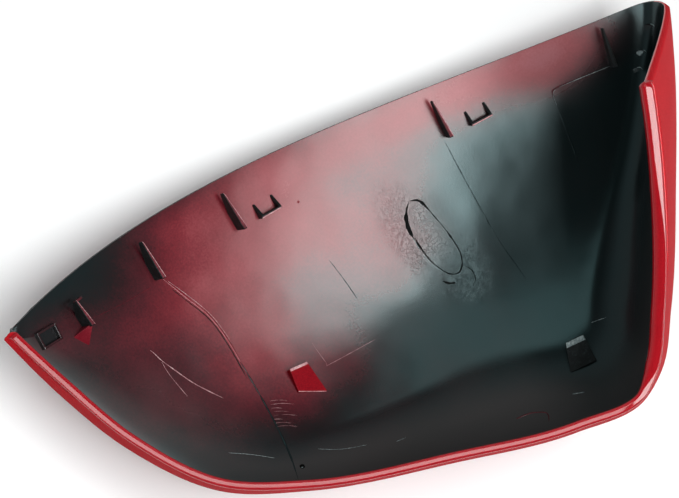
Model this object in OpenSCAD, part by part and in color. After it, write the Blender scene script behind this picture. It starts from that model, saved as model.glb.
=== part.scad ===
// Wing mirror cover: one moulded shell that caps the back of a door mirror, with its hooks and catches.
// It lies on its curved outside with the mirror opening up, as it does on a bench.

/* [Cover] */
// Length along the thin edge, from the tip to the deep end
cover_length = 253; // [230:1:280]
// Width across the cover, from the line of the tip to the low side
cover_width = 119; // [108:1:132]
// Depth of the panel below the mirror opening at the deep end
cover_depth = 70; // [62:1:78]
// Thickness of the moulded wall
wall = 2.6; // [2.2:0.1:3.2]

/* [Panel] */
// Power of the curve that the panel follows from the tip to the deep end
sweep = 2.5; // [2.2:0.1:2.8]
// How far the deepest place stands in from the deep end
deep_setback = 18; // [10:1:30]
// How far the deepest line lies below the line of the tip
keel_drop = 32; // [26:1:38]
// Radius of the panel across its keel
bow_radius = 190; // [170:5:230]

/* [Thin edge] */
// How far the cut line passes below the tip in the opening
cut_start = 2.1; // [1.6:0.1:2.6]
// Fall of the cut line from the tip to the deep end
cut_fall = 23.6; // [19:0.1:28]
// Lean of the thin edge from upright, at the tip
cut_lean_tip = 39; // [36:0.5:42]
// Lean of the thin edge from upright, at the deep end
cut_lean_end = 21.9; // [19:0.1:25]

/* [Rim] */
// Width of the painted rim round the mirror opening
rim_width = 2.8; // [2.4:0.1:3.4]
// Rounding of the rim's corners
rim_round = 0.9; // [0.5:0.1:1.1]
// Extra thickness of the rim on its inner side, at the deep end
rim_bead = 1.8; // [1:0.1:2.4]
// Groove between the rim and the outer wall, at the deep end
rim_groove = 0.6; // [0.3:0.1:0.9]
// Extra inward lean of the side walls above their widest line
tuck_extra = 0; // [0:0.5:2]

/* [Hooks] */
// Length of a hook along the wall
hook_length = 14.5; // [12:0.5:17]
// Length of the hook nearest the tip
first_hook_length = 10.3; // [9:0.1:12]
// Height of a hook off the wall
hook_height = 6.7; // [5:0.1:8]
// Mouth under the free end of a hook
hook_mouth = 3.4; // [2.5:0.1:4]
// Length of the root that holds a hook to the wall
hook_root = 6.8; // [5:0.1:9]
// Thickness of a hook at its root
hook_thick = 1.7; // [1.4:0.1:2.2]
// Thickness of a hook at its free end
hook_tip_thick = 0.9; // [0.7:0.1:1.3]

/* [Brackets] */
// Outside width of a three-sided bracket
bracket_width = 8.2; // [7:0.1:12]
// Length of a bracket's arms
bracket_length = 5.4; // [4.4:0.1:8]
// Height of a bracket at its closed end
bracket_height = 4; // [3:0.1:5]
// Thickness of a bracket's walls
bracket_wall = 0.9; // [0.8:0.1:1.4]

/* [Catches] */
// Width of a catch at its high end
catch_width = 6.9; // [5.5:0.1:8]
// Width of a catch at its low end
catch_foot_width = 10; // [8.5:0.1:12]
// Length of a catch down the wall
catch_length = 10.2; // [9:0.1:13]
// Height of a catch off the wall
catch_height = 3; // [2.2:0.1:4]
// Height of a catch's step at its low end
catch_step = 0.6; // [0.3:0.1:1]
// Flat land at the high end of the catch near the tip
first_land = 0.8; // [0.5:0.1:1.5]
// Flat land at the high end of the other catch
second_land = 2.2; // [1.2:0.1:3]
// How far the foot of the catch near the tip runs longer on its flared side
catch_skew = 4; // [0:0.5:5]

/* [Tip socket] */
// Outside length of the low socket at the tip
socket_length = 8; // [7:0.5:10]
// Outside width of the low socket
socket_width = 6; // [5:0.5:8]
// Height of the low socket
socket_height = 2.2; // [1.6:0.1:3]
// Thickness of the socket's walls
socket_wall = 1.1; // [0.9:0.1:1.5]

/* [Hidden] */
// Widest line of the side walls, from the tip along the low side and up the deep end, then on past the thin
// edge, where the cut takes the rest away. Each row: share of the length, share of the width, depth as a share
// of the cover's depth, inward tuck of the wall above, and width of the curl from the panel into the wall.
WIDEST = [
    [-0.002, -0.001, 0.04,  3.5,  8],
    [0.025, -0.206, 0.17,  5.4, 14],
    [0.071, -0.438, 0.26,  5.5, 18],
    [0.156, -0.668, 0.30,  4.8, 22],
    [0.258, -0.778, 0.31,  4.1, 26],
    [0.449, -0.897, 0.31,  4.0, 28],
    [0.609, -0.979, 0.34,  4.3, 30],
    [0.709, -0.988, 0.37,  4.8, 30],
    [0.749, -0.937, 0.40,  5.9, 28],
    [0.801, -0.792, 0.46,  7.2, 26],
    [0.886, -0.493, 0.60, 10.4, 22],
    [0.971, -0.158, 0.77, 17.0, 18],
    [1.004,  0.006, 0.84, 19.6, 16],
    [1.025,  0.190, 0.86, 20.0, 20],
    [1.036,  0.520, 0.86, 20.0, 20],
    [0.632,  0.655, 0.71, 12.0, 20],
    [0.237,  0.487, 0.43,  6.0, 20],
    [0.032,  0.134, 0.14,  4.0, 10],
    [-0.002, -0.001, 0.04,  3.5,  8]
];
TUCK_POWER = 1.25;   // how the side wall leans in towards the rim
CURL_POWER = 2.2;    // how the panel curls up into the side wall
LEAN_POWER = 1.9;    // how the lean of the thin edge fades along it
EDGE_SQUARE = 0.6;   // how far the thin edge is square to the wall, from leaning 0 to square 1
OUTER = 0;
INNER = 1;
HUB = [0.593 * cover_length, -0.378 * cover_width];  // plan place that the sections spread from
deepest_x = cover_length - deep_setback;
keel_y = -keel_drop;
edge_y = 12;                                         // mean place of the thin edge on the panel

table = [for (row = WIDEST)
    [row[0] * cover_length, row[1] * cover_width, row[2] * cover_depth, row[3] + tuck_extra, row[4]]];
last = len(table) - 1;
function step(i) = norm([table[i + 1][0] - table[i][0], table[i + 1][1] - table[i][1]]);
knots = [for (i = 0, at = 0; i <= last; at = at + (i < last ? step(i) : 0), i = i + 1) at];
round_length = knots[last];

// Slope of the table's curve at a row, as a mean of the spans on both sides.
function inner_slope(i) =
    let (a = knots[i] - knots[i - 1], b = knots[i + 1] - knots[i])
    ((table[i + 1] - table[i]) * a / b + (table[i] - table[i - 1]) * b / a) / (a + b);
function slope(i) =
    i == 0 ? 1.5 * (table[1] - table[0]) / knots[1] - 0.5 * inner_slope(1)
    : i == last ? 1.5 * (table[last] - table[last - 1]) / (knots[last] - knots[last - 1]) - 0.5 * inner_slope(last - 1)
    : inner_slope(i);

function span_of(s, i = 0) = i >= last - 1 || s < knots[i + 1] ? i : span_of(s, i + 1);
function curve_at(s) =
    let (i = span_of(s), h = knots[i + 1] - knots[i], u = (s - knots[i]) / h)
    (2 * u^3 - 3 * u^2 + 1) * table[i] + (u^3 - 2 * u^2 + u) * h * slope(i)
    + (3 * u^2 - 2 * u^3) * table[i + 1] + (u^3 - u^2) * h * slope(i + 1);

function unit(v) = v / norm(v);
function plan(v) = [v[0], v[1]];

// A section: its widest point in plan, the height there, its tuck, its curl, the way in from the outline, and
// its place along the outline.
function section(s) =
    let (row = curve_at(s), back = max(s - 0.05, 0), ahead = min(s + 0.05, round_length),
         way = unit(plan(curve_at(ahead)) - plan(curve_at(back))))
    [plan(row), cover_depth - row[2], row[3], row[4], [-way[1], way[0]], s];

// Height of the panel over a plan place, on its outer or its inner side.
function panel(p, side) =
    cover_depth * pow(abs(1 - p[0] / deepest_x), sweep)
    + (pow(p[1] - keel_y, 2) - pow(edge_y - keel_y, 2)) / (2 * bow_radius) + side * wall;

// A point of a section. From 0 to 1 it crosses the panel, to 2 it climbs the curl, to 3 it leans in to the rim.
function skin(sec, q, side) =
    let (way = unit(sec[0] - HUB), reach = norm(sec[0] - HUB) - wall * side)
    q <= 2
        ? let (turn = 90 * max(q - 1, 0), v = pow(sin(turn), 2 / CURL_POWER),
               p = HUB + way * (q <= 1 ? (reach - sec[3]) * q : reach - sec[3] * (1 - v)), low = panel(p, side))
          [p[0], p[1], low + (sec[1] - low) * (1 - cos(turn))]
        : let (v = q - 2, widest = sec[0] - way * wall * side,
               rim = sec[0] + sec[4] * (sec[2] + rim_width * (side - 0.5)),
               p = widest + (rim - widest) * pow(v, TUCK_POWER))
          [p[0], p[1], sec[1] + (cover_depth - rim_round - sec[1]) * v];

// How far a point lies on the kept side of the thin edge.
function kept(p, side) =
    let (lean = cut_lean_end + (cut_lean_tip - cut_lean_end) * pow(max(0, 1 - p[0] / deepest_x), LEAN_POWER))
    tan(lean) * (cover_depth - p[2] + EDGE_SQUARE * wall * side) - (p[1] + cut_start + cut_fall * p[0] / cover_length);
function cut_between(sec, side, low, high, turns) =
    let (mid = (low + high) / 2)
    turns == 0 ? low
    : kept(skin(sec, mid, side), side) >= 0 ? cut_between(sec, side, mid, high, turns - 1)
    : cut_between(sec, side, low, mid, turns - 1);
function end_of(sec, side) = kept(skin(sec, 3, side), side) >= 0 ? 3 : cut_between(sec, side, 0, 3, 24);

// Where the rim meets the thin edge at the deep end, found by halving.
function rim_end(low, high, turns) =
    let (mid = (low + high) / 2)
    turns == 0 ? low
    : kept(skin(section(mid), 3, INNER), INNER) >= 0 ? rim_end(mid, high, turns - 1)
    : rim_end(low, mid, turns - 1);
rim_stop = rim_end(knots[9], knots[12], 24);

function spread(from, to, n) = [for (i = [0:n - 1]) from + (to - from) * i / n];
corner_stop = (knots[12] + knots[13]) / 2;           // past the corner of the cut at the deep end
stops = concat(
    spread(0, 6, 4), spread(6, knots[6], 34), spread(knots[6], knots[9] + 5, 16),
    spread(knots[9] + 5, rim_stop - 3, 12), spread(rim_stop - 3, rim_stop, 6), spread(rim_stop, rim_stop + 2, 2),
    spread(rim_stop + 2, corner_stop, 15), spread(corner_stop, round_length - 8, 26),
    spread(round_length - 8, round_length, 3));
sections = [for (s = stops) section(s)];

RINGS = [0.2, 0.4, 0.58, 0.74, 0.88, 1, 1.22, 1.42, 1.6, 1.75, 1.88, 2, 2.25, 2.5, 2.75, 3];
SQUEEZE = 0.88;      // where the rings that the thin edge cuts off are gathered, as a share of the way to it
RIM_STEPS = [0.08, 0.3, 0.7, 0.92];
LEDGE_DROP = 0.3;    // how far below the rim's corner the groove's outer ledge lies
GROOVE_RUN = 30;     // length over which the groove deepens
BEAD_DROP = 0.8;     // fall of the bead's inner corner, as a share of its thickness
BEAD_END = 1.5;      // length over which the bead rounds off at its end
edge_round = 0.2;    // rounding of the thin edge
function over_rim(t) = pow(1 - pow(abs(2 * t - 1), 3), 1 / 3);
function ring_at(q, end) = min(q, end * (SQUEEZE + (1 - SQUEEZE) * q / 3));
function ramp(s, from, to) = min(1, max(0, (s - from) / (to - from)));
// One section's points, from the outer side of the hub over the rim or the thin edge to the inner side. At the
// deep end the rim bulges inwards as a bead with a rounded end, and a groove parts it from the outer wall.
function ring(sec) =
    let (out_end = end_of(sec, OUTER), in_end = end_of(sec, INNER), whole = out_end == 3 && in_end == 3,
         out_edge = skin(sec, out_end, OUTER), in_edge = skin(sec, in_end, INNER),
         full = whole ? sqrt(ramp(rim_stop - sec[5], 0, BEAD_END)) : 0,
         groove = rim_groove * full * ramp(sec[5], knots[9], knots[9] + GROOVE_RUN),
         bead = rim_bead * full * ramp(sec[5], knots[7], knots[8]) * [sec[4][0], sec[4][1], -BEAD_DROP],
         climb = cover_depth - rim_round - sec[1],
         lift = whole ? [0, 0, rim_round] : edge_round * [0, cos(cut_lean_end), sin(cut_lean_end)])
    concat(
        [for (q = RINGS) if (q < 3) skin(sec, ring_at(q, out_end), OUTER)],
        [skin(sec, ring_at(3 - LEDGE_DROP / climb, out_end), OUTER) - groove * [sec[4][0], sec[4][1], 0]],
        [out_edge - groove * [0, 0, 1]],
        [for (t = RIM_STEPS) out_edge + (in_edge - out_edge) * t + lift * over_rim(t)],
        [for (i = [len(RINGS) - 1:-1:0])
            skin(sec, ring_at(RINGS[i], in_end), INNER) + bead * pow(max(RINGS[i] - 2, 0), 2)]);
rings = [for (sec = sections) ring(sec)];
n_rings = len(rings);
per_ring = len(rings[0]);
shell_points = concat(
    [for (r = rings) for (p = r) p],
    [[HUB[0], HUB[1], panel(HUB, OUTER)], [HUB[0], HUB[1], panel(HUB, INNER)]]);
hub_out = n_rings * per_ring;
hub_in = hub_out + 1;
function at(i, j) = (i % n_rings) * per_ring + j;
shell_faces = concat(
    [for (i = [0:n_rings - 1]) [hub_out, at(i, 0), at(i + 1, 0)]],
    [for (i = [0:n_rings - 1]) [hub_in, at(i + 1, per_ring - 1), at(i, per_ring - 1)]],
    [for (i = [0:n_rings - 1]) for (j = [0:per_ring - 2]) [at(i, j), at(i, j + 1), at(i + 1, j + 1)]],
    [for (i = [0:n_rings - 1]) for (j = [0:per_ring - 2]) [at(i, j), at(i + 1, j + 1), at(i + 1, j)]]);

// The way it lies: turned so that the panel under its mass centre is level.
mass_share = [0.532, -0.47];
contact = [mass_share[0] * cover_length, mass_share[1] * cover_width];
probe = 0.5;
fall_x = (panel(contact + [probe, 0], OUTER) - panel(contact - [probe, 0], OUTER)) / (2 * probe);
fall_y = (panel(contact + [0, probe], OUTER) - panel(contact - [0, probe], OUTER)) / (2 * probe);
rest_pitch = atan(fall_x);
rest_roll = -atan(fall_y * cos(rest_pitch));
function pitched(p) = [p[0] * cos(rest_pitch) + p[2] * sin(rest_pitch), p[1],
                       p[2] * cos(rest_pitch) - p[0] * sin(rest_pitch)];
function rolled(p) = [p[0], p[1] * cos(rest_roll) - p[2] * sin(rest_roll),
                      p[1] * sin(rest_roll) + p[2] * cos(rest_roll)];
lying = [for (p = shell_points) rolled(pitched(p))];
function low(axis) = min([for (p = lying) p[axis]]);
function high(axis) = max([for (p = lying) p[axis]]);
origin = [(low(0) + high(0)) / 2, (low(1) + high(1)) / 2, low(2)];

sink = 0.6 * wall;    // how deep a feature's root stands in the wall
eps = 0.01;

module at_rest() {
    translate(-origin) rotate([rest_roll, 0, 0]) rotate([0, rest_pitch, 0]) children();
}

// Stands its children on a point of the inner skin, with Y along the way given and Z off the wall.
module stand(here, way, off) {
    side_way = unit(cross(way, off));
    up = cross(side_way, way);
    multmatrix([[side_way[0], way[0], up[0], here[0]],
                [side_way[1], way[1], up[1], here[1]],
                [side_way[2], way[2], up[2], here[2]],
                [0, 0, 0, 1]]) children();
}
module on_panel(p) {
    dx = (panel(p + [probe, 0], INNER) - panel(p - [probe, 0], INNER)) / (2 * probe);
    dy = (panel(p + [0, probe], INNER) - panel(p - [0, probe], INNER)) / (2 * probe);
    stand([p[0], p[1], panel(p, INNER)], unit([0, 1, dy]), [-dx, -dy, 1]) children();
}
module on_curl(foot, head) {
    here = skin(section(foot[0] * round_length), foot[1], INNER);
    there = skin(section(head[0] * round_length), head[1], INNER);
    way = unit(there - here);
    s = (foot[0] + head[0]) / 2 * round_length;
    q = (foot[1] + head[1]) / 2;
    along = skin(section(s + probe), q, INNER) - skin(section(s - probe), q, INNER);
    stand(here, way, cross(along, way)) children();
}

module shell() {
    polyhedron(points = shell_points, faces = shell_faces, convexity = 6);
}

// Side outline of a hook, drawn along the wall and off it, extruded to its thickness. Its left face is flat.
module hook(length) {
    root = hook_root * length / hook_length;
    intersection() {
        rotate([90, 0, 90]) linear_extrude(height = hook_thick)
            polygon([[0, -sink], [root, -sink], [root, 0], [length, hook_mouth],
                     [length, hook_height - 0.3], [0, hook_height]]);
        translate([0, 0, -2 * sink]) linear_extrude(height = hook_height + 4 * sink)
            polygon([[-eps, -eps], [hook_thick, -eps], [hook_tip_thick, length + eps], [-eps, length + eps]]);
    }
}

// The hook nearest the tip has a three-cornered foot.
module foot_brace() {
    brace_run = 5.5;
    brace_width = 6;
    rotate([90, 0, 90]) translate([0, 0, -brace_width])
        linear_extrude(height = brace_width) polygon([[0, -sink], [1.6, -sink], [0, 0.75 * hook_height]]);
    translate([0, -brace_run, 0]) rotate([90, 0, 90])
        linear_extrude(height = 1.2) polygon([[0, -sink], [brace_run + 0.5, -sink],
                                              [brace_run + 0.5, 0.8 * hook_height]]);
}

// Two arms that rise from nothing to a cross bar.
module bracket() {
    intersection() {
        rotate([90, 0, 90]) translate([0, 0, -bracket_width]) linear_extrude(height = 3 * bracket_width)
            polygon([[0, -sink], [bracket_length, -sink], [bracket_length, 0.3],
                     [bracket_wall, bracket_height], [0, bracket_height]]);
        translate([0, 0, -2 * sink]) linear_extrude(height = bracket_height + 4 * sink)
            polygon([[0, -eps], [bracket_width, -eps], [bracket_width, bracket_length + eps],
                     [bracket_width - bracket_wall, bracket_length + eps],
                     [bracket_width - bracket_wall, bracket_wall], [bracket_wall, bracket_wall],
                     [bracket_wall, bracket_length + eps], [0, bracket_length + eps]]);
    }
}

// A ramp with a flat land at its high end. One side is straight, and the other flares towards the foot.
module catch_ramp(flared, land, skew) {
    flare = catch_foot_width - catch_width;
    mirror([flared < 0 ? 1 : 0, 0, 0]) intersection() {
        rotate([90, 0, 90]) linear_extrude(height = 2 * catch_foot_width, center = true)
            polygon([[-skew, -sink], [catch_length, -sink], [catch_length, catch_height],
                     [catch_length - land, catch_height], [0, catch_step], [-skew, catch_step]]);
        translate([0, 0, -2 * sink]) linear_extrude(height = catch_height + 4 * sink)
            polygon([[-catch_width / 2, skew / 2], [catch_width / 2 + flare, -skew / 2],
                     [catch_width / 2, catch_length + eps], [-catch_width / 2, catch_length + eps]]);
    }
}

module tip_socket() {
    difference() {
        translate([-socket_length / 2, -socket_width / 2, -sink])
            cube([socket_length, socket_width, socket_height + sink]);
        translate([-socket_length / 2 + socket_wall, -socket_width / 2 + socket_wall, 0.3])
            cube([socket_length - 2 * socket_wall, socket_width - 2 * socket_wall, socket_height + 1]);
    }
}

// The five hooks: plan place of the foot as shares of the length and the width, turn towards the tip, and length.
HOOKS = [[0.092, -0.081, 5.8, first_hook_length], [0.201, -0.050, 2.1, hook_length],
         [0.329, -0.028, 3.5, hook_length], [0.644, -0.063, 0.1, hook_length],
         [0.895, -0.100, -9, hook_length]];
// Plan places of the left feet of the two brackets.
BRACKET_FEET = [[0.362, -0.026], [0.682, -0.064]];
// The two catches: foot and head, each as a share of the way round the outline and a place in the section, then
// the side that flares, the land and the skew of the foot.
CATCHES = [[[0.117, 0.777], [0.092, 0.678], 1, first_land, catch_skew],
           [[0.319, 1.279], [0.327, 1.061], -1, second_land, 0]];
SOCKET = [0.048, -0.055];
function placed(share) = [share[0] * cover_length, share[1] * cover_width];

module mirror_cover() {
    color("firebrick") at_rest() {
        shell();
        for (h = HOOKS) on_panel(placed(h)) rotate([0, 0, h[2]]) hook(h[3]);
        on_panel(placed(HOOKS[0])) rotate([0, 0, HOOKS[0][2]]) foot_brace();
        for (foot = BRACKET_FEET) on_panel(placed(foot)) bracket();
        for (c = CATCHES) on_curl(c[0], c[1]) catch_ramp(c[2], c[3], c[4]);
        on_panel(placed(SOCKET)) tip_socket();
    }
}

mirror_cover();
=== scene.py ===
# Wing mirror cover: a painted shell, lying on its back and seen straight into its opening.
import bisect
import math
import bpy
import bmesh
from mathutils import Matrix, Vector, noise


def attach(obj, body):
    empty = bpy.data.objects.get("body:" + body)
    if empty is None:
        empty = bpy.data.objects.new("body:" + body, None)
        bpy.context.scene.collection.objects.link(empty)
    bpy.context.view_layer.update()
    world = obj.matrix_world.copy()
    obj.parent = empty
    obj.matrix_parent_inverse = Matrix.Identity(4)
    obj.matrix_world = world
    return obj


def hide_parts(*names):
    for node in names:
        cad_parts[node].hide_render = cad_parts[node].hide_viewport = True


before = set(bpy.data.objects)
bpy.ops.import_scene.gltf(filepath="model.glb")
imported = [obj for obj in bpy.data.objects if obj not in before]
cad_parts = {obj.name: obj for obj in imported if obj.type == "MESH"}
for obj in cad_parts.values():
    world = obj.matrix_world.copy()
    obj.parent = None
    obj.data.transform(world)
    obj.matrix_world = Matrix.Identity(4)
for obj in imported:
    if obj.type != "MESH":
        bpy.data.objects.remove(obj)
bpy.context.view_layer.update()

# Sizes of the cover, as in the part's source, in millimetres.
LENGTH, WIDTH, DEPTH, WALL = 253.0, 119.0, 70.0, 2.6
SWEEP, DEEPEST_X, KEEL_Y, BOW, EDGE_Y = 2.5, 235.0, -32.0, 190.0, 12.0
CUT_START, CUT_FALL, LEAN_TIP, LEAN_END = 2.1, 23.6, 39.0, 21.9
LEAN_POWER, EDGE_SQUARE = 1.9, 0.6
RIM_WIDTH, RIM_ROUND, RIM_BEAD, RIM_GROOVE = 2.8, 0.9, 1.8, 0.6
LEDGE_DROP, GROOVE_RUN, BEAD_DROP, BEAD_END = 0.3, 30.0, 0.8, 1.5
TUCK_POWER, CURL_POWER = 1.25, 2.2
HUB = (0.593 * LENGTH, -0.378 * WIDTH)
CONTACT = (0.532 * LENGTH, -0.47 * WIDTH)
# The widest line of the side wall: along, across and below the rim as shares of the sizes, then tuck and curl in mm.
WIDEST = [
    (-0.002, -0.001, 0.04, 3.5, 8), (0.025, -0.206, 0.17, 5.4, 14), (0.071, -0.438, 0.26, 5.5, 18),
    (0.156, -0.668, 0.30, 4.8, 22), (0.258, -0.778, 0.31, 4.1, 26), (0.449, -0.897, 0.31, 4.0, 28),
    (0.609, -0.979, 0.34, 4.3, 30), (0.709, -0.988, 0.37, 4.8, 30), (0.749, -0.937, 0.40, 5.9, 28),
    (0.801, -0.792, 0.46, 7.2, 26), (0.886, -0.493, 0.60, 10.4, 22), (0.971, -0.158, 0.77, 17.0, 18),
    (1.004, 0.006, 0.84, 19.6, 16), (1.025, 0.190, 0.86, 20.0, 20), (1.036, 0.520, 0.86, 20.0, 20),
    (0.632, 0.655, 0.71, 12.0, 20), (0.237, 0.487, 0.43, 6.0, 20), (0.032, 0.134, 0.14, 4.0, 10),
    (-0.002, -0.001, 0.04, 3.5, 8)]
OUTER, INNER = 0, 1

rows = [(a * LENGTH, b * WIDTH, c * DEPTH, d, e) for a, b, c, d, e in WIDEST]
knots = [0.0]
for before, after in zip(rows, rows[1:]):
    knots.append(knots[-1] + math.dist(before[:2], after[:2]))
ROUND = knots[-1]


def row_slope(i):
    """How fast each value of a row changes along the outline, from the rows beside it."""
    if i == 0 or i == len(rows) - 1:
        j, k = (0, 1) if i == 0 else (len(rows) - 2, len(rows) - 2)
        near = row_slope(k)
        span = knots[j + 1] - knots[j]
        return [1.5 * (b - a) / span - 0.5 * m for a, b, m in zip(rows[j], rows[j + 1], near)]
    a, b = knots[i] - knots[i - 1], knots[i + 1] - knots[i]
    return [((n - o) * a / b + (o - p) * b / a) / (a + b) for p, o, n in zip(rows[i - 1], rows[i], rows[i + 1])]


slopes = [row_slope(i) for i in range(len(rows))]


def widest_line(s):
    """The row's values at s round the outline, flowing from one row to the next."""
    i = 0
    while i < len(rows) - 2 and s >= knots[i + 1]:
        i += 1
    h = knots[i + 1] - knots[i]
    u = (s - knots[i]) / h
    a, b = 2 * u**3 - 3 * u**2 + 1, (u**3 - 2 * u**2 + u) * h
    c, d = 3 * u**2 - 2 * u**3, (u**3 - u**2) * h
    return [a * p + b * m + c * q + d * n
            for p, m, q, n in zip(rows[i], slopes[i], rows[i + 1], slopes[i + 1])]


def section(s):
    """Widest point, its height, tuck, curl and the way in from the outline, at s round the outline."""
    x, y, drop, tuck, curl = widest_line(s)
    bx, by = widest_line(max(s - 0.05, 0))[:2]
    ax, ay = widest_line(min(s + 0.05, ROUND))[:2]
    size = math.hypot(ax - bx, ay - by)
    reach = math.hypot(x - HUB[0], y - HUB[1])
    return {"s": s, "x": x, "y": y, "z": DEPTH - drop, "tuck": tuck, "curl": curl,
            "in": (-(ay - by) / size, (ax - bx) / size),
            "reach": reach, "way": ((x - HUB[0]) / reach, (y - HUB[1]) / reach)}


def panel(x, y, side):
    """Height of the bowed panel under a plan place, on its outer or inner side."""
    return (DEPTH * abs(1 - x / DEEPEST_X) ** SWEEP
            + ((y - KEEL_Y) ** 2 - (EDGE_Y - KEEL_Y) ** 2) / (2 * BOW) + side * WALL)


def skin(sec, q, side):
    """A point of a section: 0 to 1 on the panel, to 2 up the curl, to 3 leaning in to the rim."""
    wx, wy = sec["way"]
    reach = sec["reach"] - WALL * side
    if q <= 2:
        turn = math.radians(90 * max(q - 1, 0))
        v = math.sin(turn) ** (2 / CURL_POWER)
        d = (reach - sec["curl"]) * q if q <= 1 else reach - sec["curl"] * (1 - v)
        x, y = HUB[0] + wx * d, HUB[1] + wy * d
        low = panel(x, y, side)
        return Vector((x, y, low + (sec["z"] - low) * (1 - math.cos(turn))))
    v = q - 2
    gx, gy = sec["x"] - wx * WALL * side, sec["y"] - wy * WALL * side
    into = sec["tuck"] + RIM_WIDTH * (side - 0.5)
    k = v ** TUCK_POWER
    return Vector((gx + (sec["x"] + sec["in"][0] * into - gx) * k, gy + (sec["y"] + sec["in"][1] * into - gy) * k,
                   sec["z"] + (DEPTH - RIM_ROUND - sec["z"]) * v))


def kept(p, side):
    """Above zero on the side of the leaning cut that stays."""
    lean = math.radians(LEAN_END + (LEAN_TIP - LEAN_END) * max(0.0, 1 - p.x / DEEPEST_X) ** LEAN_POWER)
    return math.tan(lean) * (DEPTH - p.z + EDGE_SQUARE * WALL * side) - (p.y + CUT_START + CUT_FALL * p.x / LENGTH)


def end_of(sec, side):
    """How far up a section its skin goes: 3 to the rim, or less where the cut stops it."""
    if kept(skin(sec, 3, side), side) >= 0:
        return 3.0
    low, high = 0.0, 3.0
    for _ in range(26):
        mid = (low + high) / 2
        if kept(skin(sec, mid, side), side) >= 0:
            low = mid
        else:
            high = mid
    return low


# The way the cover lies: the panel is level under its mass centre, and the origin is under the middle of its box.
PROBE = 0.5
fall_x = (panel(CONTACT[0] + PROBE, CONTACT[1], 0) - panel(CONTACT[0] - PROBE, CONTACT[1], 0)) / (2 * PROBE)
fall_y = (panel(CONTACT[0], CONTACT[1] + PROBE, 0) - panel(CONTACT[0], CONTACT[1] - PROBE, 0)) / (2 * PROBE)
pitch = math.atan(fall_x)
roll = -math.atan(fall_y * math.cos(pitch))
ORIGIN = Vector((116.099, -58.3117, 25.0236))
TURN = Matrix.Rotation(roll, 4, "X") @ Matrix.Rotation(pitch, 4, "Y")
SEAT = Vector((0.0, 0.09, 0.05))      # lifts the finer mesh off the floor, so that it stays inside the plain one
REST = Matrix.Scale(0.001, 4) @ Matrix.Translation(SEAT - ORIGIN) @ TURN


# The camera looks straight down on the sketch from FAR above the rim, turned about its line of sight.
FRAME_WIDTH = 679                   # pixels
FOCAL, FAR, COS, SIN = 2745.0, 900.0, 0.8889, 0.4581            # focal length in pixels, and the turn's cosine and sine
LOOK_AT = (111.58, -25.04)


def rest_way(v):
    """A direction of the sketch as the cover lies."""
    return (TURN.to_3x3() @ Vector(v)).normalized()


def ramp(v, low, high):
    return min(1.0, max(0.0, (v - low) / (high - low)))


def ease(v, low, high):
    t = ramp(v, low, high)
    return t * t * (3 - 2 * t)


def rim_end():
    """Where the rim meets the thin edge at the deep end."""
    low, high = knots[9], knots[12]
    for _ in range(24):
        mid = (low + high) / 2
        low, high = (mid, high) if kept(skin(section(mid), 3, INNER), INNER) >= 0 else (low, mid)
    return low


RIM_STOP = rim_end()

# Turn round the hub against the place along the outline, to find the section over a plan place.
TURN_STEPS = 1200
TURNS = []
for i in range(TURN_STEPS + 1):
    x, y = widest_line(ROUND * i / TURN_STEPS)[:2]
    a = math.atan2(y - HUB[1], x - HUB[0])
    while TURNS and a < TURNS[-1] - math.pi:
        a += 2 * math.pi
    TURNS.append(a)


def wall_at(x, y):
    """The inner skin over a plan place, up to the widest line of the wall."""
    a = math.atan2(y - HUB[1], x - HUB[0])
    while a < TURNS[0]:
        a += 2 * math.pi
    i = min(max(bisect.bisect(TURNS, a), 1), TURN_STEPS)
    part = (a - TURNS[i - 1]) / (TURNS[i] - TURNS[i - 1])
    sec = section(min(max(ROUND * (i - 1 + part) / TURN_STEPS, 0.0), ROUND))
    reach = sec["reach"] - WALL
    d = math.hypot(x - HUB[0], y - HUB[1])
    low = panel(x, y, INNER)
    if d > reach - sec["curl"]:
        v = min(1.0, 1 - (reach - d) / sec["curl"])
        low += (sec["z"] - low) * (1 - math.cos(math.asin(v ** (CURL_POWER / 2))))
    return Vector((x, y, low))


def off_wall(x, y):
    """The way straight off the inner skin."""
    e = 0.4
    along = wall_at(x + e, y) - wall_at(x - e, y)
    return along.cross(wall_at(x, y + e) - wall_at(x, y - e)).normalized()


# Materials

def linear(code):
    """An sRGB hex colour as linear values."""
    parts = [int(code[i:i + 2], 16) / 255 for i in (1, 3, 5)]
    return (*[c / 12.92 if c <= 0.04045 else ((c + 0.055) / 1.055) ** 2.4 for c in parts], 1.0)


def grey(v):
    return (v, v, v, 1.0)


def add_node(tree, kind, links=None, marks=(), **settings):
    """Adds a node with its properties, its input values by name or as in_number, and the nodes or outputs that are
    linked into it. A colour ramp also gets its marks of place and colour."""
    node = tree.nodes.new(kind)
    for name, value in settings.items():
        if hasattr(node, name):
            setattr(node, name, value)
        elif name.startswith("in_"):
            node.inputs[int(name[3:])].default_value = value
        else:
            node.inputs[name.replace("_", " ")].default_value = value
    for name, source in (links or {}).items():
        tree.links.new(source.outputs[0] if isinstance(source, bpy.types.Node) else source, node.inputs[name])
    if marks:
        ends = node.color_ramp.elements
        ends[0].position, ends[0].color = marks[0]
        ends[1].position, ends[1].color = marks[-1]
        for at, colour in marks[1:-1]:
            ends.new(at).color = colour
    return node


def sum_of(tree, *parts):
    """Adds parts, each a node or a node and its share."""
    total = None
    for part in parts:
        node, share = part if isinstance(part, tuple) else (part, 1.0)
        links = {0: node}
        if total is not None:
            links[2] = total
        total = add_node(tree, "ShaderNodeMath", links, operation="MULTIPLY_ADD", in_1=share)
        if len(links) == 1:
            total.inputs[2].default_value = 0.0
    return total


def new_material(name):
    """An empty material, its node tree and the output that gives the place on the piece in metres."""
    mat = bpy.data.materials.new(name)
    mat.use_nodes = True
    mat.node_tree.nodes.clear()
    return mat, mat.node_tree, add_node(mat.node_tree, "ShaderNodeTexCoord").outputs["Object"]


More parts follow.
